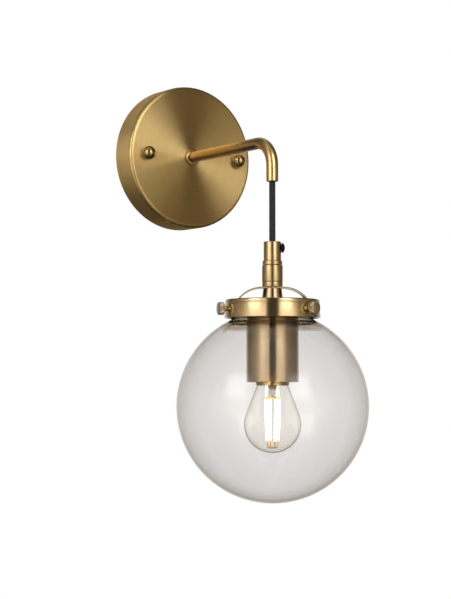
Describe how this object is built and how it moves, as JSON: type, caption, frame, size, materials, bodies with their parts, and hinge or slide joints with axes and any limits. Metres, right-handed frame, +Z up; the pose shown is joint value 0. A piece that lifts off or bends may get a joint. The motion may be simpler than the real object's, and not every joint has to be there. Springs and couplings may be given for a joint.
{
  "type": "globe wall sconce",
  "caption": "Wall light with a round canopy, a bent tube arm, a short fabric cord and a clear glass globe held in a ring by thumb screws.",
  "frame": {"origin": "centre of the canopy on the wall plane, midway between the two wall-screw slots", "axes": "+Z up, +Y into the wall, +X to the right seen from the room; the light stands out along -Y"},
  "size_m": [0.15, 0.216, 0.3438],
  "materials": {
    "spun_brass": "brushed, spun",
    "polished_brass": "polished",
    "satin_brass": "satin",
    "zinc_steel": "zinc plated",
    "contact_brass": "plain",
    "solder": "plain",
    "black_plastic": "matte",
    "white_plastic": "moulded",
    "black_bakelite": "moulded",
    "lead_insulation": "plain",
    "cord_fabric": "braided",
    "clear_glass": "clear",
    "bulb_glass": "clear",
    "filament": "glowing coating",
    "filament_wire": "wire"
  },
  "bodies": {
    "wall_mount": {"wall_bracket": "zinc_steel", "bracket_studs": "zinc_steel", "stud_nuts": "zinc_steel", "canopy": "spun_brass", "ball_nut_left": "polished_brass", "ball_nut_right": "polished_brass", "earth_screw": "contact_brass", "terminal_block": "white_plastic", "terminal_screws": "zinc_steel", "arm_tube": "polished_brass", "arm_collar": "polished_brass", "arm_washer": "zinc_steel", "arm_nut": "zinc_steel", "cord_bush": "black_plastic", "cord_in_arm": "cord_fabric"},
    "cord": {"cord": "cord_fabric"},
    "grip": {"cord_grip": "polished_brass", "cord_in_grip": "cord_fabric"},
    "grip_screw": {"grip_screw": "black_plastic"},
    "shade": {"coupling": "polished_brass", "lock_ring": "polished_brass", "nipple": "zinc_steel", "bridge": "polished_brass", "gallery_ring": "polished_brass", "globe": "clear_glass", "lampholder_cup": "satin_brass", "lampholder_cap": "black_bakelite", "lampholder_body": "black_bakelite", "holder_terminals": "contact_brass", "contact_shell": "contact_brass", "centre_contact": "contact_brass", "lampholder_leads": "lead_insulation"},
    "thumb_screw_1": {"thumb_screw_1": "polished_brass"},
    "thumb_screw_2": {"thumb_screw_2": "polished_brass"},
    "thumb_screw_3": {"thumb_screw_3": "polished_brass"},
    "bulb": {"bulb_cap": "contact_brass", "bulb_insulator": "black_bakelite", "bulb_contact": "solder", "bulb_glass": "bulb_glass", "bulb_stem": "bulb_glass", "bulb_filaments": "filament", "filament_wires": "filament_wire"}
  },
  "joints": [
    {"name": "swing_side", "type": "hinge", "parent": "wall_mount", "child": "cord", "pos_m": [0, -0.141, -0.0324], "axis": [0, 1, 0], "range_deg": [-35, 35]},
    {"name": "swing_fore", "type": "hinge", "parent": "cord", "child": "grip", "pos_m": [0, -0.141, -0.0804], "axis": [1, 0, 0], "range_deg": [-35, 28]},
    {"name": "cord_twist", "type": "hinge", "parent": "grip", "child": "shade", "pos_m": [0, -0.141, -0.0982], "axis": [0, 0, 1], "range_deg": [-90, 90], "stiffness_Nm_per_rad": 0.006},
    {"name": "grip_screw_travel", "type": "slide", "parent": "grip", "child": "grip_screw", "axis": [0.866, -0.5, 0], "range_m": [0, 0.002]},
    {"name": "thumb_screw_1_travel", "type": "slide", "parent": "shade", "child": "thumb_screw_1", "axis": [0.2351, -0.972, 0], "range_m": [0, 0.004]},
    {"name": "thumb_screw_2_travel", "type": "slide", "parent": "shade", "child": "thumb_screw_2", "axis": [-0.9593, 0.2823, 0], "range_m": [0, 0.004]},
    {"name": "thumb_screw_3_travel", "type": "slide", "parent": "shade", "child": "thumb_screw_3", "axis": [0.7242, 0.6896, 0], "range_m": [0, 0.004]},
    {"name": "bulb_travel", "type": "slide", "parent": "shade", "child": "bulb", "axis": [0, 0, -1], "range_m": [0, 0.026]}
  ]
}
